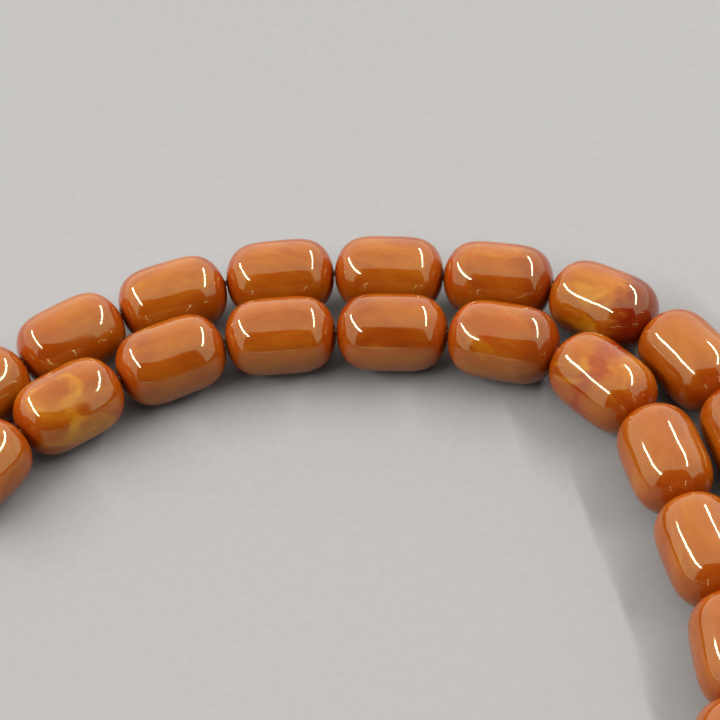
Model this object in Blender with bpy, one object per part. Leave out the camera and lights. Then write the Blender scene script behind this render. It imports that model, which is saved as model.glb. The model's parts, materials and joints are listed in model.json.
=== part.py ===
"""Misbaha: a closed loop of 33 capsule beads with two dividers, a leader (imam), a finial and a tassel.

The string lies on a flat surface, z = 0, with +Z up. Lengths below are in millimetres, angles in degrees.
The back of the string is an arch of two rows side by side. Its front right is an open loop, and its
front left is the tail: leader, finial, knot and tassel.
"""
import math

import bpy
import bmesh
from mathutils import Matrix, Vector

MM = 0.001
SEGMENTS = 16                # sides of every turned piece; one side always faces straight down

# Beads and dividers, turned on the cord's axis
BEAD_LENGTH = 14.0
BEAD_RADIUS = 5.0
BEAD_END_ROUND = 6.0         # every end lies inside a ball of this radius that touches its tip
BEAD_OUTLINE = [(7.0, 0.9), (6.3, 2.7), (5.0, 4.2), (2.8, 5.0)]
DIVIDER_LENGTH = 6.4
DIVIDER_OUTLINE = [(3.2, 0.9), (2.55, 2.6), (1.9, 3.6), (1.2, 3.8), (0.7, 4.7)]
BEADS = 33
BEADS_PER_GROUP = 11
FIRST_BACK = 14              # this bead and the later ones are laid from the cord's other end

# Cord
CORD_RADIUS = 0.42
CORD_TURN = 0.6              # the cord rounds each corner this far either side of it
CLEARANCE = 0.3              # between pieces that touch on the real string
FOLD_GAP = 0.65              # bead end to corner where the loop can be lifted
STRAND_OFFSET = 0.6          # the two strands lie side by side in the leader
STRAND_EXIT = 1.6            # a strand leaves its row straight for this far
STRAND_ENTRY = 3.0           # and enters the leader straight from this far

# Tail: leader, finial, knot and tassel
MOUTH = (-58.8, -31.5)
TAIL_HEADING = -106.0
IMAM_OUTLINE = [(0.0, 1.3), (0.0, 3.0), (1.2, 4.3), (4.0, 5.3), (7.0, 5.5), (10.0, 5.0), (14.0, 3.7),
                (17.5, 2.9), (18.6, 3.7), (20.4, 3.7), (21.5, 2.8), (27.0, 2.5), (33.0, 2.8),
                (36.0, 3.4), (37.4, 3.1), (38.0, 2.2), (38.0, 1.3)]
IMAM_RESTS_ON = [(7.0, 5.5), (36.0, 3.4)]        # the two rings that touch the surface
IMAM_LENGTH = 38.0
FINIAL_LENGTH = 5.0
FINIAL_OUTLINE = [(2.5, 1.3), (2.3, 2.1), (1.5, 2.8), (0.5, 3.0)]
KNOT_RADIUS = 1.7
TASSEL_HEADING = -95.0
TASSEL_CORD_LENGTH = 5.0
TASSEL_CORD_RADIUS = 0.8
TASSEL_CORD_BEND = 1.3       # it is straight for this far at each end
LIFT_GAP = 1.4               # between the tassel's cord and its head, which tips up there
HEAD_LENGTH = 8.0
HEAD_OUTLINE = [(4.0, 1.0), (3.4, 2.3), (2.0, 3.5), (0.7, 3.8)]
BINDING_LENGTH = 3.6
BINDING_OUTLINE = [(1.8, 2.3), (1.8, 2.8), (1.2, 3.1), (0.4, 3.1)]
NECK_HEIGHT = 3.1
SKIRT_SIDES = 12
# Tassel skirt: distance along it, sideways bow, half width, half height
SKIRT_STATIONS = [(0.0, 0.0, 2.0, 2.0), (4.4, 0.0, 2.0, 2.0), (10.0, 0.2, 4.0, 2.6),
                  (22.0, 1.0, 5.6, 2.4), (38.0, 3.2, 7.0, 2.0), (54.0, 7.0, 8.0, 1.6), (64.0, 10.4, 8.4, 1.3)]

# The cord's route, seen from above: from the leader along the outer row, round the loop, and back
ROUTE = [(-54.0, -15.7), (-43.8, -4.6), (-31.7, 4.4), (-17.3, 10.3), (-2.8, 11.6), (11.4, 10.9),
         (25.7, 8.4), (37.9, 0.5), (45.6, -11.7), (50.0, -25.2), (54.2, -38.8), (57.6, -52.3),
         (60.4, -66.0), (62.2, -80.0), (63.0, -94.0), (62.2, -108.0), (58.2, -121.0), (49.6, -131.0),
         (37.4, -136.0), (24.4, -134.8), (14.0, -127.0), (9.4, -115.0), (11.2, -102.4), (19.0, -91.6),
         (29.6, -82.4), (38.8, -72.4), (44.2, -61.0), (45.9, -50.0), (43.0, -38.3), (38.8, -25.2),
         (34.8, -12.7), (25.6, -2.8), (11.8, 0.6), (-2.5, 1.0), (-17.2, -0.1), (-30.8, -7.2),
         (-42.1, -16.2), (-50.4, -28.8)]
ROUTE_STEPS = 60             # samples between two points of the route
CENTRE = (-6.72, -69.46)     # middle of the whole string's footprint, which becomes the origin

OUTER_ROW = ["bead_%02d" % n for n in range(1, BEADS_PER_GROUP + 1)] + ["divider_a", "bead_12"]
INNER_ROW = (["bead_%02d" % n for n in range(BEADS, 2 * BEADS_PER_GROUP, -1)] + ["divider_b"]
             + ["bead_%02d" % n for n in range(2 * BEADS_PER_GROUP, FIRST_BACK, -1)])
SLIDING = ("bead_13", "bead_14")                 # they face each other across the bare cord
# Corners where the loop can be lifted: between these two pieces, on the outer and on the inner side
NEAR_FOLD = (("divider_a", "bead_12"), ("bead_23", "divider_b"))
FAR_FOLD = (("bead_14", "bead_15"), ("bead_20", "bead_19"))


# ---------------------------------------------------------------- layout of the string

def plan(point):
    """A point of the footprint, moved so that the footprint's middle is the origin."""
    return Vector((point[0] - CENTRE[0], point[1] - CENTRE[1]))


def smooth_curve(points, steps):
    """Catmull-Rom curve through the points, as a dense list."""
    padded = [2 * points[0] - points[1]] + points + [2 * points[-1] - points[-2]]
    curve = []
    for before, start, end, after in zip(padded, padded[1:], padded[2:], padded[3:]):
        for step in range(steps):
            t = step / steps
            curve.append(0.5 * (2 * start + (end - before) * t
                                + (2 * before - 5 * start + 4 * end - after) * t ** 2
                                + (3 * start - before - 3 * end + after) * t ** 3))
    return curve + [points[-1]]


def walk(curve, chords):
    """Corners on the curve, each one chord away from the last."""
    corners = [curve[0]]
    index = 0
    for chord in chords:
        while (curve[index + 1] - corners[-1]).length < chord:
            index += 1
        low, high = curve[index], curve[index + 1]
        near, far = (low - corners[-1]).length, (high - corners[-1]).length
        corners.append(low.lerp(high, (chord - near) / (far - near)))
    return corners


def length_of(name):
    return DIVIDER_LENGTH if name.startswith("divider") else BEAD_LENGTH


def end_gap(bend):
    """Distance from a bead's end to the corner, so that two rounded ends clear each other."""
    return (BEAD_END_ROUND + CLEARANCE / 2) / math.cos(bend / 2) - BEAD_END_ROUND


def ring_order():
    """Every piece's name, in order along the cord."""
    return OUTER_ROW + list(SLIDING) + INNER_ROW[::-1]


def lay_out():
    """Corners of the cord, and each piece's centre and direction, from above."""
    curve = smooth_curve([plan(p) for p in ROUTE], ROUTE_STEPS)
    folds = {pair for fold in (NEAR_FOLD, FAR_FOLD) for side in fold for pair in (side, side[::-1])}
    sides = [OUTER_ROW + [SLIDING[0]], INNER_ROW + [SLIDING[1]]]
    gaps = [[CLEARANCE] * len(side) for side in sides]
    for _ in range(5):
        rows = []
        for side, gap, line in zip(sides, gaps, (curve, curve[::-1])):
            chords = [length_of(n) + a + b for n, a, b in zip(side[:-1], gap, gap[1:])]
            rows.append(walk(line, chords))
        corners = rows[0] + rows[1][::-1]
        for row, side, gap, closing in zip(rows, sides, gaps, (rows[1][-1], rows[0][-1])):
            ahead = row + [closing]
            for k in range(1, len(row)):
                bend = (ahead[k] - ahead[k - 1]).angle(ahead[k + 1] - ahead[k])
                gap[k] = end_gap(bend)
                if (side[k - 1], side[k]) in folds:
                    gap[k] = FOLD_GAP
    places = {}
    for row, side, gap, closing in zip(rows, sides, gaps, (rows[1][-1], rows[0][-1])):
        ahead = row + [closing]
        for k, name in enumerate(side):
            along = (ahead[k + 1] - ahead[k]).normalized()
            centre = ahead[k] + along * (gap[k] + length_of(name) / 2)
            places[name] = (centre, along)
    return corners, places


def corner_between(pair, corners):
    """The corner of the cord between two neighbouring pieces."""
    order = ring_order()
    first, second = sorted(order.index(name) for name in pair)
    slack_edge = order.index(SLIDING[1])
    return corners[second if second < slack_edge else second - 1]


# ---------------------------------------------------------------- modelling helpers

def clear_scene():
    for obj in list(bpy.data.objects):
        bpy.data.objects.remove(obj, do_unlink=True)


def make_material(name, colour, roughness):
    material = bpy.data.materials.new(name)
    material.use_nodes = True
    shader = material.node_tree.nodes["Principled BSDF"]
    shader.inputs["Base Color"].default_value = (*colour, 1.0)
    shader.inputs["Roughness"].default_value = roughness
    shader.inputs["Metallic"].default_value = 0.0
    material.diffuse_color = (*colour, 1.0)
    return material


def add_object(name, data, material):
    obj = bpy.data.objects.new(name, data)
    bpy.context.scene.collection.objects.link(obj)
    if material and not data.materials:
        data.materials.append(material)
    return obj


def turned_mesh(name, outline, bored=True):
    """Solid of revolution about +X, from (x, radius) points; a bored one joins its ends by a straight hole.

    The polygon is drawn around the true circle, so a side's middle has the stated radius.
    """
    bm = bmesh.new()
    rings = []
    for x, radius in outline:
        corner = radius / math.cos(math.pi / SEGMENTS)
        angles = [2 * math.pi * (k + 0.5) / SEGMENTS for k in range(SEGMENTS)]
        rings.append([bm.verts.new((x * MM, corner * math.cos(a) * MM, corner * math.sin(a) * MM))
                      for a in angles])
    pairs = list(zip(rings, rings[1:]))
    if bored:
        pairs.append((rings[-1], rings[0]))
    else:
        bm.faces.new(rings[0])
        bm.faces.new(rings[-1])
    for ring, following in pairs:
        for k in range(SEGMENTS):
            after = (k + 1) % SEGMENTS
            bm.faces.new((ring[k], ring[after], following[after], following[k]))
    bmesh.ops.recalc_face_normals(bm, faces=bm.faces)
    mesh = bpy.data.meshes.new(name)
    bm.to_mesh(mesh)
    bm.free()
    mesh.shade_smooth()
    mesh.set_sharp_from_angle(angle=math.radians(40))
    return mesh


def both_ways(half_outline):
    """A half outline, from an end towards the middle, made whole by its mirror image."""
    return half_outline + [(-x, radius) for x, radius in half_outline[::-1]]


def aim(obj, place, direction):
    """Put an object's origin at a place, with its +X along a direction and its +Y level."""
    along = Vector(direction).normalized()
    level = Vector((0, 0, 1)).cross(along).normalized()
    turn = Matrix((along, level, along.cross(level))).transposed()
    obj.matrix_world = Matrix.Translation(Vector(place) * MM) @ turn.to_4x4()


def tube(name, points, radius, material):
    curve = bpy.data.curves.new(name, "CURVE")
    curve.dimensions = "3D"
    curve.bevel_depth = radius * MM
    curve.bevel_resolution = 2
    curve.use_fill_caps = True
    spline = curve.splines.new("POLY")
    spline.points.add(len(points) - 1)
    for target, point in zip(spline.points, points):
        target.co = (*(Vector(point) * MM), 1.0)
    return add_object(name, curve, material)


def pivot(name, place):
    empty = bpy.data.objects.new(name, None)
    bpy.context.scene.collection.objects.link(empty)
    empty.location = Vector(place) * MM
    empty.empty_display_size = 5 * MM
    return empty


def hang_on(parent, children):
    bpy.context.view_layer.update()
    for child in children:
        child.parent = parent
        child.matrix_parent_inverse = parent.matrix_world.inverted()


# ---------------------------------------------------------------- the pieces

def raised(point, height=BEAD_RADIUS):
    return Vector((point[0], point[1], height))


def make_string_pieces(places, materials):
    bead_mesh = turned_mesh("bead", both_ways(BEAD_OUTLINE))
    divider_mesh = turned_mesh("divider", both_ways(DIVIDER_OUTLINE))
    pieces = {}
    for name in ring_order():
        mesh = divider_mesh if name.startswith("divider") else bead_mesh
        centre, along = places[name]
        pieces[name] = add_object(name, mesh, materials["amber"])
        aim(pieces[name], raised(centre), (along.x, along.y, 0))
    return pieces


def cord_run(points):
    """Cord through a run of corners, rounded at each one and cut just short at both ends."""
    half_cut = CLEARANCE / 2
    first = points[0] + (points[1] - points[0]).normalized() * half_cut
    last = points[-1] + (points[-2] - points[-1]).normalized() * half_cut
    run = [first]
    for before, corner, after in zip(points, points[1:], points[2:]):
        run.append(corner + (before - corner).normalized() * CORD_TURN)
        run.append(corner + (after - corner).normalized() * CORD_TURN)
    return run + [last]


def tail_frame():
    """The tail's axis: the leader's mouth, its direction and its level sideways direction."""
    (near, wide), (far, narrow) = IMAM_RESTS_ON
    tilt = math.atan2(wide - narrow, far - near)
    height = near * math.sin(tilt) + wide * math.cos(tilt)
    heading = math.radians(TAIL_HEADING)
    mouth = raised(plan(MOUTH), height)
    along = Vector((math.cos(heading) * math.cos(tilt), math.sin(heading) * math.cos(tilt), -math.sin(tilt)))
    sideways = Vector((-math.sin(heading), math.cos(heading), 0))
    return mouth, along, sideways


def strand_to_mouth(corner, outward, side):
    """Bare cord from the end of a row to the leader's mouth."""
    mouth, along, sideways = tail_frame()
    entry = mouth + sideways * side * STRAND_OFFSET
    guides = [corner, corner + outward * STRAND_EXIT, entry - along * STRAND_ENTRY, entry - along * CLEARANCE / 2]
    return smooth_curve(guides, 3)


def make_cords(corners, materials):
    """The stringing cord, one tube for each stretch that moves as one."""
    at = [raised(c) for c in corners]
    index = {pair: corners.index(corner_between(pair, corners)) for pair in NEAR_FOLD + FAR_FOLD}
    near_out, near_in = (index[pair] for pair in NEAR_FOLD)
    far_out, far_in = (index[pair] for pair in FAR_FOLD)
    outer_strand = strand_to_mouth(at[0], (at[0] - at[1]).normalized(), -1)
    inner_strand = strand_to_mouth(at[-1], (at[-1] - at[-2]).normalized(), 1)
    runs = {
        "cord_outer": outer_strand[::-1] + cord_run(at[:near_out + 1])[1:],
        "cord_inner": cord_run(at[near_in:])[:-1] + inner_strand,
        "cord_loop_outer": cord_run(at[near_out:far_out + 1]),
        "cord_loop_inner": cord_run(at[far_in:near_in + 1]),
        "cord_loop_end": cord_run(at[far_out:far_in + 1]),
    }
    return {name: tube(name, run, CORD_RADIUS, materials["cord"]) for name, run in runs.items()}


def make_tail(materials):
    """Leader, finial and knot on the two strands, on one tilted axis."""
    mouth, along, sideways = tail_frame()
    pieces = {}

    def add_turned(name, outline, distance, material, bored=True):
        pieces[name] = add_object(name, turned_mesh(name, outline, bored), materials[material])
        aim(pieces[name], mouth + along * distance, along)

    finial_start = IMAM_LENGTH + CLEARANCE
    knot_start = finial_start + FINIAL_LENGTH + CLEARANCE
    knot_outline = [(KNOT_RADIUS * math.cos(a), KNOT_RADIUS * math.sin(a))
                    for a in (math.radians(angle) for angle in (20, 45, 70))]
    add_turned("imam_bead", IMAM_OUTLINE, 0, "amber")
    add_turned("finial_bead", both_ways(FINIAL_OUTLINE), finial_start + FINIAL_LENGTH / 2, "amber")
    add_turned("end_knot", both_ways(knot_outline), knot_start + KNOT_RADIUS, "cord", bored=False)
    for name, side in (("cord_tail_a", -1), ("cord_tail_b", 1)):
        offset = sideways * side * STRAND_OFFSET
        run = [mouth + offset + along * CLEARANCE / 2, mouth + offset + along * (knot_start - CLEARANCE / 2)]
        pieces[name] = tube(name, run, CORD_RADIUS, materials["cord"])
    return pieces, mouth + along * (knot_start + 2 * KNOT_RADIUS)


def skirt_mesh(start, along, sideways):
    """Bundle of threads as one closed solid: round at its neck, flat and wide where it lies."""
    bm = bmesh.new()
    rings = []
    for distance, bow, half_width, half_height in SKIRT_STATIONS:
        height = NECK_HEIGHT if half_width == half_height else half_height
        middle = start + along * distance + sideways * bow
        ring = []
        for k in range(SKIRT_SIDES):
            angle = 2 * math.pi * (k + 0.5) / SKIRT_SIDES
            across = sideways * half_width * math.cos(angle)
            point = middle + across + Vector((0, 0, height + half_height * math.sin(angle)))
            ring.append(bm.verts.new(point * MM))
        rings.append(ring)
    for ring, following in zip(rings, rings[1:]):
        for k in range(SKIRT_SIDES):
            after = (k + 1) % SKIRT_SIDES
            bm.faces.new((ring[k], ring[after], following[after], following[k]))
    bm.faces.new(rings[0])
    bm.faces.new(rings[-1])
    bmesh.ops.recalc_face_normals(bm, faces=bm.faces)
    mesh = bpy.data.meshes.new("tassel_skirt")
    bm.to_mesh(mesh)
    bm.free()
    mesh.shade_smooth()
    mesh.set_sharp_from_angle(angle=math.radians(40))
    return mesh


def make_tassel(start, materials):
    """Cord, wrapped head, neck binding and thread skirt, lying on the surface."""
    heading = math.radians(TASSEL_HEADING)
    along = Vector((math.cos(heading), math.sin(heading), 0))
    sideways = Vector((-math.sin(heading), math.cos(heading), 0))
    _, tail_along, _ = tail_frame()
    head_height = HEAD_OUTLINE[-1][1]
    head_start = raised(start + along * TASSEL_CORD_LENGTH, head_height)
    cord_end = head_start - along * LIFT_GAP
    guides = [start + tail_along * CLEARANCE / 2, start + tail_along * TASSEL_CORD_BEND,
              cord_end - along * TASSEL_CORD_BEND, cord_end]
    head_centre = head_start + along * HEAD_LENGTH / 2
    neck = raised(head_start + along * HEAD_LENGTH, NECK_HEIGHT)
    binding_centre = neck + along * (CLEARANCE + BINDING_LENGTH / 2)
    pieces = {"tassel_cord": tube("tassel_cord", smooth_curve(guides, 3), TASSEL_CORD_RADIUS,
                                  materials["silk"])}
    for name, outline, centre, bored in (("tassel_head", HEAD_OUTLINE, head_centre, False),
                                         ("tassel_binding", BINDING_OUTLINE, binding_centre, True)):
        mesh = turned_mesh(name, both_ways(outline), bored)
        pieces[name] = add_object(name, mesh, materials["silk"])
        aim(pieces[name], centre, along)
    skirt_start = raised(neck + along * CLEARANCE, 0)
    pieces["tassel_skirt"] = add_object("tassel_skirt", skirt_mesh(skirt_start, along, sideways),
                                        materials["silk"])
    return pieces, head_start - along * LIFT_GAP / 2


def fold_middle(fold, corners):
    outer, inner = (corner_between(pair, corners) for pair in fold)
    return raised((outer + inner) / 2)


def build():
    clear_scene()
    materials = {"amber": make_material("amber_resin", (0.62, 0.20, 0.02), 0.15),
                 "cord": make_material("waxed_cord", (0.50, 0.33, 0.17), 0.75),
                 "silk": make_material("tassel_silk", (0.36, 0.09, 0.02), 0.45)}
    corners, places = lay_out()
    pieces = make_string_pieces(places, materials)
    cords = make_cords(corners, materials)
    tail, tail_end = make_tail(materials)
    tassel, lift_point = make_tassel(tail_end, materials)

    order = ring_order()
    loop_start, loop_end = order.index("bead_12"), order.index("divider_b")
    far_start, far_end = order.index("bead_15"), order.index("bead_19")
    far = [pieces[name] for name in order[far_start:far_end + 1]] + [cords["cord_loop_end"]]
    near = [pieces[name] for name in order[loop_start:far_start] + order[far_end + 1:loop_end + 1]]
    near += [cords["cord_loop_outer"], cords["cord_loop_inner"]]
    near_pivot = pivot("loop_fold_near", fold_middle(NEAR_FOLD, corners))
    far_pivot = pivot("loop_fold_far", fold_middle(FAR_FOLD, corners))
    tail_pivot = pivot("tail_swing", tail_frame()[0])
    tassel_pivot = pivot("tassel_swing", tail_end)
    lift_pivot = pivot("tassel_lift", lift_point)
    hang_on(far_pivot, far)
    hang_on(near_pivot, near + [far_pivot])
    hang_on(lift_pivot, [tassel["tassel_head"], tassel["tassel_binding"], tassel["tassel_skirt"]])
    hang_on(tassel_pivot, [tassel["tassel_cord"], lift_pivot])
    hang_on(tail_pivot, list(tail.values()) + [tassel_pivot])


build()
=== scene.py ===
"""Looks of the misbaha: marbled amber beads, turned dividers and leader, twisted cord and silk tassel.

Lengths are in millimetres and turned to metres where a mesh is made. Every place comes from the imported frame.
"""
import json
import math
import random

import bmesh
import bpy
from mathutils import Matrix, Vector, noise


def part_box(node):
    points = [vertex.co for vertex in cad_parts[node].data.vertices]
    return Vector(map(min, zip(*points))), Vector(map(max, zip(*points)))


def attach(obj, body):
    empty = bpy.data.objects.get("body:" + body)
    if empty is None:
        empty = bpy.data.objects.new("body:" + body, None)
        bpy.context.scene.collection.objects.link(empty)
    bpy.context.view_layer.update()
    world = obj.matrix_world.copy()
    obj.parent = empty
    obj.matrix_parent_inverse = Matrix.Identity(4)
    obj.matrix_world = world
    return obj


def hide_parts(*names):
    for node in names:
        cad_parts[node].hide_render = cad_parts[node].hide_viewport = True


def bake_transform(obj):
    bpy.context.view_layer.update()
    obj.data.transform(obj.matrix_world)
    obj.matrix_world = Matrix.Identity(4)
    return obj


MM = 0.001
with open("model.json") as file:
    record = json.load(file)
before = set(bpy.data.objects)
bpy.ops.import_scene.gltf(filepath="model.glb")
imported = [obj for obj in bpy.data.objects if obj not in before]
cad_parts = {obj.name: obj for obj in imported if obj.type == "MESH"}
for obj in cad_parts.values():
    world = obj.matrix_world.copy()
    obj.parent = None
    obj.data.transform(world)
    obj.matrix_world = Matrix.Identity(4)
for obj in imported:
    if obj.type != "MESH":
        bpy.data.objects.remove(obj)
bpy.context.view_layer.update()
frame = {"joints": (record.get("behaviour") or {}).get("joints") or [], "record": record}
JOINTS = {joint["name"]: joint for joint in frame["joints"]}

# Camera
CAMERA_TARGET = (5.07, 70.17, 0.0)
CAMERA_AZIMUTH = 9.73
CAMERA_ELEVATION = 47.04
CAMERA_ROLL = -6.77
CAMERA_DISTANCE = 288.34
CAMERA_LENS = 111.85

# Light
TENT_BRIGHTNESS = 1.42

# Beads
BEADS = ["bead_%02d" % n for n in range(1, 34)]
DIVIDERS = ["divider_a", "divider_b"]
BEAD_LENGTH = 14.25
BEAD_RADIUS = 4.98
BEAD_FLATNESS = 4.07         # exponents of the bead's outline along and across its axis
BEAD_FULLNESS = 1.9
BORE_RADIUS = 0.75
LIP_RADIUS = 0.35
AROUND = 72
FOLD_BEADS = ["bead_12", "bead_14", "bead_15", "bead_19", "bead_20", "bead_23"]
FOLD_BEAD_LENGTH = 13.9      # beads beside a fold stand a little clear of each other

# Cord
CORD_RADIUS = 0.42
CORD_PITCH = 2.2
STRAND_OFFSET = 0.6          # the two strands lie side by side in the leader
STRAND_EXIT = 1.6            # a strand leaves its row straight for this far
STRAND_ENTRY = 3.0           # and enters the leader straight from this far
SETBACK = 2.5                # a run of cord that crosses a joint ends this far beyond it, inside a bore

# Tail
IMAM_LENGTH = 38.0
TAIL_BORE = 1.2
FINIAL_LENGTH = 5.0
FINIAL_RADIUS = 3.0
KNOT_RADIUS = 1.7
TASSEL_CORD_RADIUS = 0.8
HEAD_LENGTH = 8.0
BINDING_LENGTH = 3.6
BINDING_RADIUS = 3.1
NECK_HEIGHT = 3.1
THREADS = 230
THREAD_RADIUS = 0.21
# Tassel skirt: distance along it, sideways bow, half width, half height
SKIRT_STATIONS = [(0.0, 0.0, 2.0, 2.0), (4.4, 0.0, 2.0, 2.0), (10.0, 0.2, 4.0, 2.6),
                  (22.0, 1.0, 5.6, 2.4), (38.0, 3.2, 7.0, 2.0), (54.0, 7.0, 8.0, 1.6), (64.0, 10.4, 8.4, 1.3)]


# ---------------------------------------------------------------- places from the frame

def in_mm(vector):
    return Vector(vector) / MM


def place_of(name):
    """Centre and axis of a turned piece on the cord."""
    spin = JOINTS.get(name.replace("imam_bead", "imam").replace("finial_bead", "finial") + "_spin")
    if spin:
        return in_mm(spin["pos_m"]), Vector(spin["axis"]).normalized()
    low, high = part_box(name)
    return in_mm((low + high) / 2), Vector(JOINTS[name + "_slide"]["axis"]).normalized()


def body_of(name):
    """The body that holds a CAD node: the node's own name for whatever turns or slides alone."""
    for body, nodes in frame["record"]["behaviour"]["bodies"].items():
        if name in nodes:
            return body
    raise KeyError(name)


def turn_to(axis):
    """Rotation that points +X along an axis and keeps +Y level."""
    along = Vector(axis).normalized()
    level = Vector((0, 0, 1)).cross(along).normalized()
    return Matrix((along, level, along.cross(level))).transposed()


# ---------------------------------------------------------------- mesh helpers

def add_mesh(name, bm, material, place=None, axis=None):
    """The bmesh, in millimetres, as a smooth object in metres."""
    bmesh.ops.recalc_face_normals(bm, faces=bm.faces)
    bmesh.ops.scale(bm, vec=(MM, MM, MM), verts=bm.verts)
    mesh = bpy.data.meshes.new(name)
    bm.to_mesh(mesh)
    bm.free()
    mesh.shade_smooth()
    mesh.materials.append(material)
    obj = bpy.data.objects.new(name, mesh)
    bpy.context.scene.collection.objects.link(obj)
    if place is not None:
        obj.matrix_world = Matrix.Translation(Vector(place) * MM) @ turn_to(axis).to_4x4()
    return obj


def turned(outline, around=AROUND, closed=True, ripple=None):
    """Solid of revolution about +X from (x, radius) points; closed joins its last point to its first."""
    bm = bmesh.new()
    rings = []
    for x, radius in outline:
        ring = []
        for k in range(around):
            angle = 2 * math.pi * k / around
            r = radius * (ripple(x, angle) if ripple else 1.0)
            ring.append(bm.verts.new((x, r * math.cos(angle), r * math.sin(angle))))
        rings.append(ring)
    pairs = list(zip(rings, rings[1:]))
    if closed:
        pairs.append((rings[-1], rings[0]))
    else:
        bm.faces.new(rings[0])
        bm.faces.new(rings[-1])
    for ring, following in pairs:
        for k in range(around):
            after = (k + 1) % around
            bm.faces.new((ring[k], ring[after], following[after], following[k]))
    return bm


def smooth_line(points, steps):
    """Catmull-Rom curve through the points, as a dense list."""
    padded = [2 * points[0] - points[1]] + list(points) + [2 * points[-1] - points[-2]]
    curve = []
    for before, start, end, after in zip(padded, padded[1:], padded[2:], padded[3:]):
        for step in range(steps):
            t = step / steps
            curve.append(0.5 * (2 * start + (end - before) * t
                                + (2 * before - 5 * start + 4 * end - after) * t ** 2
                                + (3 * start - before - 3 * end + after) * t ** 3))
    return curve + [points[-1].copy()]


def resample(points, step):
    """The same line with evenly spaced points."""
    total = sum((b - a).length for a, b in zip(points, points[1:]))
    count = max(2, round(total / step))
    spacing = total / count
    line, index, walked = [points[0].copy()], 0, 0.0
    for k in range(1, count):
        goal = k * spacing
        while walked + (points[index + 1] - points[index]).length < goal:
            walked += (points[index + 1] - points[index]).length
            index += 1
        share = (goal - walked) / (points[index + 1] - points[index]).length
        line.append(points[index].lerp(points[index + 1], share))
    return line + [points[-1].copy()]


def frames_along(line):
    """Tangent, side and up at each point, carried along the line without twisting."""
    side = None
    frames = []
    for k, point in enumerate(line):
        tangent = (line[min(k + 1, len(line) - 1)] - line[max(k - 1, 0)]).normalized()
        if side is None:
            guide = Vector((0, 0, 1)) if abs(tangent.z) < 0.9 else Vector((1, 0, 0))
            side = guide.cross(tangent).normalized()
        side = (side - tangent * side.dot(tangent)).normalized()
        frames.append((point, tangent, side, tangent.cross(side)))
    return frames


def add_tube(bm, line, radius, sides=8, taper=None):
    """A capped tube along a line, added to the bmesh; taper(share) scales its radius along it."""
    rings = []
    last = len(line) - 1
    for k, (point, _, side, up) in enumerate(frames_along(line)):
        r = radius * (taper(k / last) if taper else 1.0)
        rings.append([bm.verts.new(point + side * r * math.cos(2 * math.pi * s / sides)
                                   + up * r * math.sin(2 * math.pi * s / sides)) for s in range(sides)])
    for ring, following in zip(rings, rings[1:]):
        for s in range(sides):
            after = (s + 1) % sides
            bm.faces.new((ring[s], ring[after], following[after], following[s]))
    bm.faces.new(rings[0])
    bm.faces.new(rings[-1])


def add_twist(bm, line, radius, plies=3, pitch=CORD_PITCH, step=0.2, sides=8, part=(0.0, 1.0)):
    """Twisted cord of a few plies along a line, of the given outer radius; part is the share of it to make."""
    ply = radius * 0.54
    orbit = radius - ply
    line = resample(line, step)
    frames = frames_along(line)
    first, last = round(part[0] * (len(line) - 1)), round(part[1] * (len(line) - 1))
    for n in range(plies):
        path = []
        for k in range(first, last + 1):
            point, _, side, up = frames[k]
            angle = 2 * math.pi * (k * step / pitch + n / plies)
            path.append(point + (side * math.cos(angle) + up * math.sin(angle)) * orbit)
        add_tube(bm, path, ply, sides)


# ---------------------------------------------------------------- materials

def node(tree, kind, inputs=None, **settings):
    """A new shader node; an input is a value, or a socket to link from."""
    made = tree.nodes.new(kind)
    for key, value in settings.items():
        setattr(made, key, value)
    for socket, value in (inputs or {}).items():
        if isinstance(value, bpy.types.NodeSocket):
            tree.links.new(value, made.inputs[socket])
        else:
            made.inputs[socket].default_value = value
    return made


def ramp(tree, factor, stops):
    made = node(tree, "ShaderNodeValToRGB", {"Fac": factor})
    elements = made.color_ramp.elements
    while len(elements) < len(stops):
        elements.new(0.5)
    for element, (position, colour) in zip(elements, stops):
        element.position = position
        element.color = (*colour, 1.0) if len(colour) == 3 else colour
    return made.outputs["Color"]


def mask(tree, factor, low, high):
    """0 below low, 1 above high, smooth in between."""
    made = node(tree, "ShaderNodeMapRange", {"Value": factor, "From Min": low, "From Max": high},
                interpolation_type="SMOOTHSTEP")
    return made.outputs["Result"]


def calculate(tree, operation, first, second=0.0):
    return node(tree, "ShaderNodeMath", {0: first, 1: second}, operation=operation).outputs[0]


def mix_colour(tree, factor, first, second, blend="MIX"):
    made = node(tree, "ShaderNodeMix", data_type="RGBA", blend_type=blend)
    for socket, value in ((made.inputs[0], factor), (made.inputs[6], first), (made.inputs[7], second)):
        if isinstance(value, bpy.types.NodeSocket):
            tree.links.new(value, socket)
        else:
            socket.default_value = (*value, 1.0) if isinstance(value, tuple) else value
    return made.outputs[2]


def noise_at(tree, vector, scale, detail=3.0, roughness=0.5, distortion=0.0):
    made = node(tree, "ShaderNodeTexNoise", {"Vector": vector, "Scale": scale, "Detail": detail,
                                             "Roughness": roughness, "Distortion": distortion})
    return made.outputs["Fac"]


def new_material(name):
    material = bpy.data.materials.new(name)
    material.use_nodes = True
    tree = material.node_tree
    return material, tree, tree.nodes["Principled BSDF"]


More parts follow.
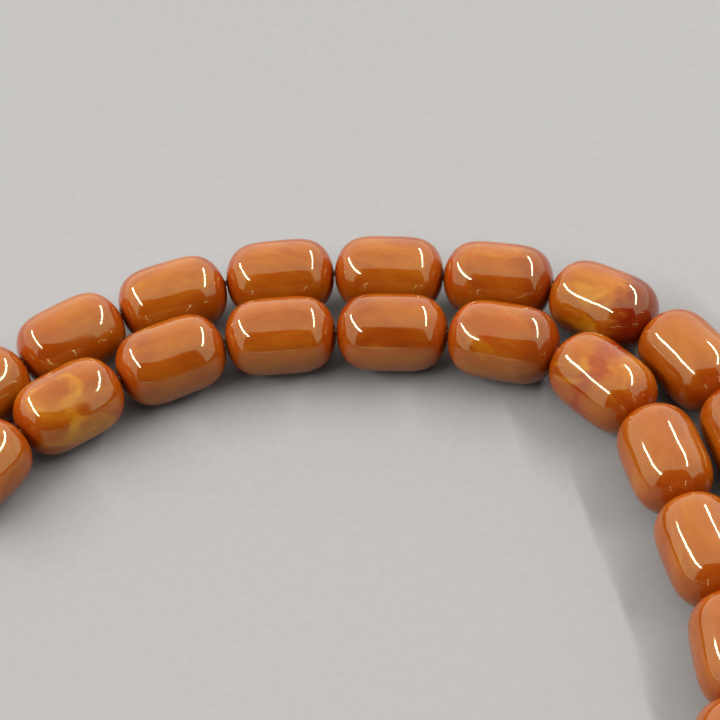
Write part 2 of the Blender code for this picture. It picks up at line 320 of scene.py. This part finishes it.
def amber(name, chance, red=0.25, yellow=0.3, band=None, deep_end=0.0, painted_tip_shade=True):
    """Marbled amber resin. Red and yellow are how much of each vein colour shows; band paints one red
    stripe across the piece at that share of its half length; deep_end reddens its +X end, or -X if
    negative; the last flag paints both tips a deeper, darker red as painted shade and glow."""
    material, tree, shader = new_material(name)
    coordinates = node(tree, "ShaderNodeTexCoord").outputs["Object"]
    where = node(tree, "ShaderNodeMapping",
                 {"Vector": coordinates, "Location": (chance.random(), chance.random(), chance.random()),
                  "Rotation": (chance.uniform(0, 6.28), chance.uniform(-0.35, 0.35), chance.uniform(-0.35, 0.35))},
                 vector_type="POINT").outputs["Vector"]
    warp = node(tree, "ShaderNodeTexNoise", {"Vector": where, "Scale": 130.0, "Detail": 2.0}).outputs["Color"]
    shift = node(tree, "ShaderNodeVectorMath", {0: warp, "Scale": 0.003}, operation="SCALE").outputs[0]
    bent = node(tree, "ShaderNodeVectorMath", {0: where, 1: shift}, operation="ADD").outputs[0]
    stretched = node(tree, "ShaderNodeMapping", {"Vector": bent, "Scale": (0.2, 1.0, 1.0)}).outputs["Vector"]
    streaks = noise_at(tree, stretched, 260.0, 4.0, 0.5, 0.5)
    colour = ramp(tree, streaks, [(0.25, (0.185, 0.025, 0.001)), (0.42, (0.225, 0.038, 0.001)),
                                  (0.55, (0.255, 0.051, 0.002)), (0.68, (0.295, 0.071, 0.003)),
                                  (0.85, (0.36, 0.110, 0.006))])
    clouds = noise_at(tree, bent, 140.0, 2.0)
    colour = mix_colour(tree, calculate(tree, "MULTIPLY", mask(tree, clouds, 0.4, 0.7), 0.6), colour,
                        (0.275, 0.066, 0.002))
    wisps = noise_at(tree, stretched, 700.0, 3.0, 0.55, 1.0)
    colour = mix_colour(tree, calculate(tree, "MULTIPLY", mask(tree, wisps, 0.52, 0.74), 0.15), colour,
                        (0.38, 0.145, 0.010))
    veins = noise_at(tree, node(tree, "ShaderNodeMapping", {"Vector": bent, "Scale": (0.45, 1.0, 1.0),
                                                            "Location": (0.3, 0.1, 0.7)}).outputs["Vector"],
                     260.0, 4.0, 0.5, 1.5)
    colour = mix_colour(tree, calculate(tree, "MULTIPLY", mask(tree, veins, 0.62 - 0.1 * red, 0.78), red), colour,
                        (0.30, 0.016, 0.002))
    gold = noise_at(tree, node(tree, "ShaderNodeMapping", {"Vector": bent, "Scale": (0.5, 1.0, 1.0),
                                                           "Location": (0.9, 0.4, 0.2)}).outputs["Vector"],
                    240.0, 3.0, 0.5, 1.0)
    colour = mix_colour(tree, calculate(tree, "MULTIPLY", mask(tree, gold, 0.60 - 0.1 * yellow, 0.76), yellow),
                        colour, (0.38, 0.15, 0.006))
    axial = node(tree, "ShaderNodeSeparateXYZ", {"Vector": coordinates}).outputs["X"]
    share = calculate(tree, "DIVIDE", axial, BEAD_LENGTH / 2 * MM)
    if painted_tip_shade:
        # painted shade and glow: both tips of the piece are darkened to a deeper red, where the beads meet
        painted_tip_shade_mask = calculate(tree, "MULTIPLY", mask(tree, calculate(tree, "ABSOLUTE", share), 0.55, 1.05), 0.62)
        colour = mix_colour(tree, painted_tip_shade_mask, colour, (0.28, 0.028, 0.002))
    ragged = calculate(tree, "ADD", share, calculate(tree, "MULTIPLY", calculate(tree, "SUBTRACT", veins, 0.5), 1.1))
    if band is not None:
        near = calculate(tree, "SUBTRACT", 1.0, mask(tree, calculate(
            tree, "ABSOLUTE", calculate(tree, "SUBTRACT", ragged, band)), 0.02, 0.30))
        colour = mix_colour(tree, calculate(tree, "MULTIPLY", near, 0.8), colour, (0.20, 0.012, 0.002))
    if deep_end:
        far = mask(tree, ragged if deep_end > 0 else calculate(tree, "MULTIPLY", ragged, -1.0), 0.25, 0.65)
        colour = mix_colour(tree, calculate(tree, "MULTIPLY", far, abs(deep_end)), colour, (0.15, 0.010, 0.001))
    tree.links.new(colour, shader.inputs["Base Color"])
    rough = node(tree, "ShaderNodeMapRange", {"Value": noise_at(tree, coordinates, 900.0, 4.0), "To Min": 0.06,
                                              "To Max": 0.11}).outputs["Result"]
    tree.links.new(rough, shader.inputs["Roughness"])
    waves = noise_at(tree, where, 230.0, 1.5)
    bump = node(tree, "ShaderNodeBump", {"Height": waves, "Strength": 0.3, "Distance": 0.0003})
    tree.links.new(bump.outputs["Normal"], shader.inputs["Normal"])
    shader.inputs["Subsurface Weight"].default_value = 0.3
    shader.inputs["Subsurface Radius"].default_value = (1.0, 0.32, 0.1)
    shader.inputs["Subsurface Scale"].default_value = 0.0022
    shader.inputs["IOR"].default_value = 1.69
    shader.inputs["Specular Tint"].default_value = (0.84, 1.0, 0.58, 1.0)
    return material


def thread_material(name, dark, light, roughness, scale, sheen):
    """Fibres that run with the piece's own noise; used for the waxed cord and for the silk."""
    material, tree, shader = new_material(name)
    coordinates = node(tree, "ShaderNodeTexCoord").outputs["Object"]
    tone = noise_at(tree, coordinates, scale, 4.0, 0.6)
    patches = noise_at(tree, coordinates, scale / 14, 2.0)
    colour = ramp(tree, tone, [(0.3, dark), (0.7, light)])
    colour = mix_colour(tree, mask(tree, patches, 0.35, 0.75), colour, light, "MULTIPLY")
    colour = mix_colour(tree, 0.65, colour, ramp(tree, tone, [(0.25, dark), (0.75, light)]))
    tree.links.new(colour, shader.inputs["Base Color"])
    rough = node(tree, "ShaderNodeMapRange", {"Value": tone, "To Min": roughness - 0.08,
                                              "To Max": roughness + 0.1}).outputs["Result"]
    tree.links.new(rough, shader.inputs["Roughness"])
    bump = node(tree, "ShaderNodeBump", {"Height": noise_at(tree, coordinates, scale * 3, 3.0),
                                         "Strength": 0.5, "Distance": 0.00008})
    tree.links.new(bump.outputs["Normal"], shader.inputs["Normal"])
    shader.inputs["Sheen Weight"].default_value = sheen
    shader.inputs["Sheen Roughness"].default_value = 0.4
    shader.inputs["Sheen Tint"].default_value = (*light, 1.0)
    return material


# ---------------------------------------------------------------- beads

def bead_outline(length, radius):
    """Half of the bead's outline as a superellipse, its lip rolled into the bore, and its mirror image."""
    half = length / 2
    steps = 22
    first = math.asin(((BORE_RADIUS + LIP_RADIUS) / radius) ** (BEAD_FULLNESS / 2))
    outer = []
    for k in range(steps + 1):
        angle = first + (math.pi / 2 - first) * k / steps
        outer.append((half * math.cos(angle) ** (2 / BEAD_FLATNESS), radius * math.sin(angle) ** (2 / BEAD_FULLNESS)))
    tip = outer[0][0]
    lip = [(tip - LIP_RADIUS * (1 - math.cos(a)), BORE_RADIUS + LIP_RADIUS * (1 - math.sin(a)))
           for a in (math.pi / 2 * k / 5 for k in range(5, 0, -1))]
    right = lip + outer[:-1]
    return right + [(0.0, radius)] + [(-x, r) for x, r in right[::-1]]


def unevenness(chance, amount=0.006):
    """Slow waves of a hand-polished surface, as a factor on the radius."""
    offset = Vector((chance.random(), chance.random(), chance.random())) * 50

    def ripple(x, angle):
        at = Vector((x / 5.5, math.cos(angle), math.sin(angle))) + offset
        return 1.0 - amount / 2 + amount / 2 * noise.noise(at)

    return ripple


SPECIAL = {
    "bead_27": {"band": -0.05, "red": 0.6, "yellow": 0.6},
    "bead_07": {"deep_end": 1.0, "yellow": 0.9, "red": 0.5},
    "bead_32": {"yellow": 1.0, "red": 0.2},
    "bead_28": {"deep_end": -0.45, "red": 0.5},
    "bead_06": {"deep_end": 0.5, "red": 0.45},
    "bead_31": {"yellow": 0.35, "red": 0.3},
    "bead_26": {"red": 0.35, "yellow": 0.35},
}


def make_beads():
    chance = random.Random(33)
    for name in BEADS:
        look = SPECIAL.get(name, {"red": chance.uniform(0.1, 0.4), "yellow": chance.uniform(0.1, 0.5)})
        material = amber("amber_" + name, chance, **look)
        length = (FOLD_BEAD_LENGTH if name in FOLD_BEADS else BEAD_LENGTH) + chance.uniform(-0.04, 0.04)
        mesh = turned(bead_outline(length, BEAD_RADIUS), ripple=unevenness(chance))
        place, axis = place_of(name)
        obj = add_mesh(name + "_resin", mesh, material, place, axis)
        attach(obj, body_of(name))
        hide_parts(name)


def arc(centre, radius, start, end, steps):
    """Points of an arc in the (x, radius) plane, in degrees."""
    points = []
    for k in range(steps + 1):
        a = math.radians(start + (end - start) * k / steps)
        points.append((centre[0] + radius * math.cos(a), centre[1] + radius * math.sin(a)))
    return points


def mirrored(half):
    return half + [(-x, r) for x, r in half[::-1] if x > 1e-6]


def rounded(outline, steps=5):
    """A softer outline through the same points."""
    line = smooth_line([Vector((x, r, 0)) for x, r in outline], steps)
    return [(p.x, p.y) for p in line]


def make_dividers():
    """Flat discs with a bead-like shoulder on each side and a rounded rim."""
    chance = random.Random(5)
    half = ([(2.85, BORE_RADIUS), (3.12, BORE_RADIUS + 0.2), (3.2, BORE_RADIUS + 0.45)]
            + arc((2.2, 1.9), 0.85, 15, 75, 5) + arc((1.75, 3.15), 0.42, -120, -200, 4)
            + arc((0.45, 4.25), 0.43, 50, 90, 4) + [(0.0, 4.68)])
    for name in DIVIDERS:
        material = amber("amber_" + name, chance, red=0.3, yellow=0.5)
        place, axis = place_of(name)
        obj = add_mesh(name + "_resin", turned(mirrored(half)), material, place, axis)
        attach(obj, body_of(name))
        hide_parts(name)


# ---------------------------------------------------------------- cord

RING = BEADS[:11] + ["divider_a"] + BEADS[11:22] + ["divider_b"] + BEADS[22:]
CAD_LENGTH = {"bead": 14.0, "divi": 6.4}


def ends_of(name):
    """The two ends of a piece on the ring, first and last along the ring."""
    place, axis = place_of(name)
    half = CAD_LENGTH[name[:4]] / 2
    return place - axis * half, place + axis * half


def corner_between(first, second):
    return (ends_of(first)[1] + ends_of(second)[0]) / 2


def row_points(first, last):
    """The cord's line through the bores of the pieces from first to last."""
    names = RING[RING.index(first):RING.index(last) + 1]
    points = []
    for name in names:
        start, end = ends_of(name)
        points += [start, place_of(name)[0], end]
    return points


def fold_direction(joint):
    """Level direction square to a fold's hinge line, from the held side to the lifted side."""
    axis = Vector(JOINTS[joint]["axis"])
    return Vector((-axis.y, axis.x, 0)).normalized()


def past(corner, name, distance):
    """A point beyond a corner, inside the bore of the named piece next to it."""
    place, _ = place_of(name)
    return corner + (place - corner).normalized() * distance


def add_cord(name, points, nodes, material, body, blend_to=None, radius=CORD_RADIUS):
    """A twisted run of cord that rides on a body; when blend_to is given it stays fixed in place on no body, blend_to
    serving only as that switch.
    """
    bm = bmesh.new()
    add_twist(bm, points, radius)
    obj = add_mesh(name, bm, material)
    if blend_to:
        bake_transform(obj)
    else:
        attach(obj, body)
    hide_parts(*nodes)
    return obj


def strand_points(end, outward, side):
    """Bare cord from the end of a row into the leader's mouth."""
    mouth, along = place_of("imam_bead")
    sideways = Vector((0, 0, 1)).cross(along).normalized()
    entry = mouth + sideways * side * STRAND_OFFSET
    guides = [end - outward * SETBACK, end, end + outward * STRAND_EXIT,
              entry - along * STRAND_ENTRY, entry, entry + along * STRAND_ENTRY]
    return smooth_line(guides, 8)


def make_cords(material):
    near_out, near_in = corner_between("divider_a", "bead_12"), corner_between("divider_b", "bead_23")
    far_out, far_in = corner_between("bead_14", "bead_15"), corner_between("bead_19", "bead_20")
    towards_near = fold_direction("loop_lift")
    towards_far = fold_direction("loop_end_lift")
    add_cord("cord_outer_row", row_points("bead_01", "divider_a") + [near_out, past(near_out, "bead_12", SETBACK)],
             ["cord_outer"], material, "string", ("loop_near", near_out, towards_near))
    add_cord("cord_inner_row",
             [past(near_in, "divider_b", SETBACK), near_in] + row_points("bead_23", "bead_33"),
             ["cord_inner"], material, "string", ("loop_near", near_in, towards_near))
    add_cord("cord_loop_right",
             [past(near_out, "bead_12", SETBACK)] + row_points("bead_12", "bead_14")[1:]
             + [far_out, past(far_out, "bead_15", SETBACK)],
             ["cord_loop_outer"], material, "loop_near", ("loop_end", far_out, towards_far))
    add_cord("cord_loop_left",
             [past(far_in, "bead_19", SETBACK), far_in] + row_points("bead_20", "divider_b")[:-1]
             + [past(near_in, "divider_b", SETBACK)],
             ["cord_loop_inner"], material, "loop_near", ("loop_end", far_in, towards_far))
    add_cord("cord_loop_tip",
             [past(far_out, "bead_15", SETBACK)] + row_points("bead_15", "bead_19")[1:-1]
             + [past(far_in, "bead_19", SETBACK)], ["cord_loop_end"], material, "loop_end")
    mouth, along = place_of("imam_bead")
    for name, bead, end, side in (("strand_outer", "bead_01", 0, -1), ("strand_inner", "bead_33", 1, 1)):
        tip = ends_of(bead)[end]
        outward = (tip - place_of(bead)[0]).normalized()
        node_name = "cord_outer" if end == 0 else "cord_inner"
        add_cord(name, strand_points(tip, outward, side), [node_name], material, "string",
                 ("tail", mouth, along))
    sideways = Vector((0, 0, 1)).cross(along).normalized()
    knot = in_mm(sum(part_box("end_knot"), Vector()) / 2)
    for name, side in (("cord_tail_a", -1), ("cord_tail_b", 1)):
        offset = sideways * side * STRAND_OFFSET
        line = [mouth + offset + along * STRAND_ENTRY, mouth + offset + along * IMAM_LENGTH / 2, knot + offset]
        add_cord("strand_" + name[-1], line, [name], material, "tail")


# ---------------------------------------------------------------- tail

def make_tail(cord_material):
    chance = random.Random(99)
    imam = (rounded([(0.3, 1.9), (0.35, 2.7), (0.9, 3.7), (1.7, 4.45), (4.0, 5.3), (7.0, 5.47), (10.0, 5.0),
                     (14.0, 3.7), (16.6, 2.9), (17.9, 2.55)])
            + arc((19.5, 2.75), 0.92, 165, 15, 10)
            + rounded([(21.1, 2.5), (22.0, 2.62), (27.0, 2.45), (32.0, 2.62), (34.6, 3.15), (36.2, 3.37),
                       (37.3, 2.95), (37.85, 2.2), (37.95, 1.7)])
            + [(37.9, TAIL_BORE), (0.2, TAIL_BORE), (0.12, 1.4)])
    finial_half = []
    for k in range(13):
        angle = math.radians(28 + 62 * k / 12)
        finial_half.append((FINIAL_LENGTH / 2 * math.cos(angle) ** 0.6, FINIAL_RADIUS * math.sin(angle) ** 0.9))
    finial_half = [(FINIAL_LENGTH / 2 - 0.35, TAIL_BORE)] + finial_half
    for name, outline in (("imam_bead", imam), ("finial_bead", mirrored(finial_half))):
        place, axis = place_of(name)
        material = amber("amber_" + name, chance, red=0.25, yellow=0.5, painted_tip_shade=False)
        obj = add_mesh(name + "_resin", turned(outline, ripple=unevenness(chance, 0.004)), material, place, axis)
        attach(obj, name)
        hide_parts(name)

    _, along = place_of("imam_bead")
    knot = in_mm(sum(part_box("end_knot"), Vector()) / 2)
    bm = bmesh.new()
    turn = turn_to(along)
    line = []
    steps = 220
    for k in range(steps + 1):
        angle = 2 * math.pi * 4 * k / steps
        swing = 5 / 4 * angle
        lean = 0.72 * math.cos(swing)
        radius = KNOT_RADIUS - 0.47 + 0.09 * math.cos(2 * swing)
        line.append(knot + turn @ (Vector((math.sin(lean), math.cos(lean) * math.cos(angle),
                                           math.cos(lean) * math.sin(angle))) * radius))
    add_tube(bm, line, 0.38, 10)
    bmesh.ops.create_icosphere(bm, subdivisions=3, radius=KNOT_RADIUS - 0.45, matrix=Matrix.Translation(knot))
    obj = add_mesh("end_knot_wound", bm, cord_material)
    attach(obj, "tail")
    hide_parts("end_knot")


# ---------------------------------------------------------------- tassel

def station(distance):
    """Bow, half width and half height of the skirt at a distance along it."""
    for low, high in zip(SKIRT_STATIONS, SKIRT_STATIONS[1:]):
        if distance <= high[0]:
            share = (distance - low[0]) / (high[0] - low[0])
            share = share * share * (3 - 2 * share) if low[0] < 10 else share
            return [a + (b - a) * share for a, b in zip(low[1:], high[1:])]
    return list(SKIRT_STATIONS[-1][1:])


def make_tassel(silk, gold):
    lift = JOINTS["tassel_lift"]
    lift_axis = Vector(lift["axis"])
    along = Vector((-lift_axis.y, lift_axis.x, 0)).normalized()
    sideways = Vector((0, 0, 1)).cross(along).normalized()
    tail_end, tail_along = in_mm(JOINTS["tassel_swing"]["pos_m"]), place_of("imam_bead")[1]
    head = in_mm(sum(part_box("tassel_head"), Vector()) / 2)
    head_start = head - along * HEAD_LENGTH / 2

    guides = [tail_end - tail_along * 0.9, tail_end + tail_along * 1.2, head_start - along * 1.2,
              head_start + along * 1.2]
    line = smooth_line(guides, 12)
    lift_point = in_mm(lift["pos_m"])
    for name, part, body, other, corner, direction, reach in (
            ("stem_upper", (0.0, 0.5), "tail", "tassel_stem", tail_end, tail_along, 0.8),
            ("stem_lower", (0.5, 1.0), "tassel_stem", "tassel", lift_point, along, 0.9)):
        bm = bmesh.new()
        add_twist(bm, line, TASSEL_CORD_RADIUS, plies=3, pitch=3.4, step=0.15, sides=10, part=part)
        obj = add_mesh(name, bm, silk)
        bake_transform(obj)
        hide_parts("tassel_cord")

    def strands(x, angle):
        return 1.0 - 0.07 * abs(math.cos(16 * (angle + 0.10 * x))) ** 3

    half = HEAD_LENGTH / 2
    egg = [(half * math.cos(a), 3.8 * math.sin(a) ** 0.85) for a in (math.radians(12 + 156 * k / 40) for k in range(41))]
    obj = add_mesh("tassel_head_wound", turned(egg, around=288, closed=False, ripple=strands), silk, head, along)
    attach(obj, "tassel")
    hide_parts("tassel_head")

    binding = in_mm(sum(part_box("tassel_binding"), Vector()) / 2)
    turn = turn_to(along)
    bm = bmesh.new()
    turns, wire = 7, 0.27
    coil = []
    for k in range(turns * 36 + 1):
        angle = 2 * math.pi * k / 36
        x = -BINDING_LENGTH / 2 + wire + (BINDING_LENGTH - 2 * wire) * k / (turns * 36)
        radius = BINDING_RADIUS - wire
        coil.append(binding + turn @ Vector((x, radius * math.cos(angle), radius * math.sin(angle))))
    add_tube(bm, coil, wire, 8)
    obj = add_mesh("tassel_binding_wound", bm, gold)
    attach(obj, "tassel")
    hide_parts("tassel_binding")

    chance = random.Random(7)
    start = binding - along * BINDING_LENGTH / 2
    start.z = 0
    bm = bmesh.new()
    steps = 34
    for n in range(THREADS):
        share = math.sqrt((n + 0.5) / THREADS)
        turned_by = n * math.radians(137.508)
        u, v = share * math.cos(turned_by), share * math.sin(turned_by)
        length = 64.0 - chance.uniform(0.0, 2.6)
        wander = Vector((chance.random(), chance.random(), chance.random())) * 90
        path = []
        for k in range(steps + 1):
            distance = length * k / steps
            bow, half_width, half_height = station(distance)
            loose = min(1.0, max(0.0, (distance - 6) / 30))
            shake = noise.noise_vector(wander + Vector((distance / 16, 0, 0))) * loose
            rise = NECK_HEIGHT + (half_height - NECK_HEIGHT) * min(1.0, max(0.0, (distance - 4.4) / 9))
            across = bow + (half_width - THREAD_RADIUS) * max(-1.0, min(1.0, u + 0.16 * shake.x))
            up = rise + (half_height - THREAD_RADIUS) * max(-1.0, min(1.0, v + 0.3 * shake.y))
            path.append(start + along * (distance + 0.3 * shake.z) + sideways * across
                        + Vector((0, 0, max(up, THREAD_RADIUS + 0.02))))
        add_tube(bm, path, THREAD_RADIUS, 5)
    obj = add_mesh("tassel_threads", bm, silk)
    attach(obj, "tassel")
    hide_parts("tassel_skirt")


# ---------------------------------------------------------------- stage

def add_area(name, centre, towards, width, height, power, along=None, colour=(1, 1, 1)):
    """A soft light at a place in metres, its long side along a direction if one is given."""
    data = bpy.data.lights.new(name, "AREA")
    data.shape = "RECTANGLE"
    data.size, data.size_y = width, height
    data.energy = power
    data.color = colour
    obj = bpy.data.objects.new(name, data)
    bpy.context.scene.collection.objects.link(obj)
    back = (Vector(centre) - Vector(towards)).normalized()
    side = Vector(along) if along else Vector((1, 0, 0))
    side = (side - back * side.dot(back)).normalized()
    turn = Matrix((side, back.cross(side), back)).transposed()
    obj.matrix_world = Matrix.Translation(Vector(centre)) @ turn.to_4x4()
    return obj


def add_strip(name, start, end, width, power, target):
    start, end = Vector(start), Vector(end)
    return add_area(name, (start + end) / 2, target, (end - start).length, width, power, along=end - start)


def make_tent():
    """White light tent all round, open at its front (-Y) up to a lintel, with a thin bright sill."""
    world = bpy.data.worlds.new("studio")
    bpy.context.scene.world = world
    world.use_nodes = True
    tree = world.node_tree
    direction = node(tree, "ShaderNodeTexCoord").outputs["Generated"]
    axes = node(tree, "ShaderNodeSeparateXYZ", {"Vector": direction}).outputs
    forward = calculate(tree, "MAXIMUM", calculate(tree, "MULTIPLY", axes["Y"], -1.0), 0.001)
    across = calculate(tree, "DIVIDE", axes["X"], forward)
    height = calculate(tree, "DIVIDE", axes["Z"], forward)
    opening = calculate(tree, "MULTIPLY", mask(tree, across, -0.90, -0.80),
                        calculate(tree, "SUBTRACT", 1.0, mask(tree, across, 1.35, 1.45)))
    opening = calculate(tree, "MULTIPLY", opening, calculate(tree, "SUBTRACT", 1.0, mask(tree, height, 1.80, 1.88)))
    opening = calculate(tree, "MULTIPLY", opening, mask(tree, height, 0.04, 0.05))
    overhead = calculate(tree, "DIVIDE", axes["Y"], calculate(tree, "MAXIMUM", axes["Z"], 0.001))
    ceiling = node(tree, "ShaderNodeMapRange", {"Value": overhead, "From Min": -0.5, "From Max": 0.6,
                                                "To Min": 1.08, "To Max": 0.82}).outputs["Result"]
    wall = mask(tree, overhead, 0.62, 0.70)
    lintel = calculate(tree, "MULTIPLY", mask(tree, overhead, -0.66, -0.58),
                       calculate(tree, "SUBTRACT", 1.0, mask(tree, overhead, -0.54, -0.50)))
    level = calculate(tree, "ADD", ceiling, calculate(tree, "MULTIPLY", wall, 0.30))
    level = calculate(tree, "ADD", level, calculate(tree, "MULTIPLY", lintel, 0.35))
    white = mix_colour(tree, level, (0.0, 0.0, 0.0), (1.0, 0.98, 0.96))
    colour = mix_colour(tree, opening, white, (0.03, 0.03, 0.035))
    background = tree.nodes["Background"]
    tree.links.new(colour, background.inputs["Color"])
    background.inputs["Strength"].default_value = TENT_BRIGHTNESS


def make_stage():
    target = Vector(CAMERA_TARGET) * MM
    azimuth, elevation = math.radians(CAMERA_AZIMUTH), math.radians(CAMERA_ELEVATION)
    back = Vector((math.sin(azimuth) * math.cos(elevation), -math.cos(azimuth) * math.cos(elevation),
                   math.sin(elevation)))
    data = bpy.data.cameras.new("camera")
    data.sensor_width = 36.0
    data.lens = CAMERA_LENS
    data.clip_start, data.clip_end = 0.01, 20.0
    camera = bpy.data.objects.new("camera", data)
    bpy.context.scene.collection.objects.link(camera)
    turn = (-back).to_track_quat("-Z", "Y").to_matrix() @ Matrix.Rotation(math.radians(CAMERA_ROLL), 3, "Z")
    camera.matrix_world = Matrix.Translation(target + back * CAMERA_DISTANCE * MM) @ turn.to_4x4()
    bpy.context.scene.camera = camera

    reach = 0.55
    add_strip("strip_left", target + Vector((-0.79, 0.35, 0.51)) * reach, target + Vector((-0.39, -0.63, 0.68)) * reach,
              0.022, 2.4, target)
    add_strip("strip_right", target + Vector((0.32, 0.73, 0.61)) * reach, target + Vector((0.68, -0.20, 0.71)) * reach,
              0.022, 2.2, target)
    make_tent()

    bm = bmesh.new()
    bmesh.ops.create_grid(bm, x_segments=8, y_segments=8, size=6000)
    material, tree, shader = new_material("floor_paper")
    coordinates = node(tree, "ShaderNodeTexCoord").outputs["Object"]
    grain = noise_at(tree, coordinates, 900.0, 3.0)
    tree.links.new(ramp(tree, grain, [(0.3, (0.215, 0.211, 0.206)), (0.7, (0.226, 0.222, 0.217))]),
                   shader.inputs["Base Color"])
    shader.inputs["Roughness"].default_value = 0.75
    floor = add_mesh("floor", bm, material)
    floor.location.z = -0.00005
    bpy.context.scene.view_settings.view_transform = "Standard"


make_stage()
make_beads()
make_dividers()
cord_fibre = thread_material("waxed_cord", (0.24, 0.13, 0.055), (0.42, 0.27, 0.13), 0.6, 2600.0, 0.1)
make_cords(cord_fibre)
make_tail(cord_fibre)
make_tassel(thread_material("tassel_silk", (0.095, 0.014, 0.003), (0.25, 0.048, 0.008), 0.34, 1800.0, 0.12),
            thread_material("tassel_gold", (0.26, 0.12, 0.022), (0.45, 0.24, 0.05), 0.32, 2200.0, 0.15))
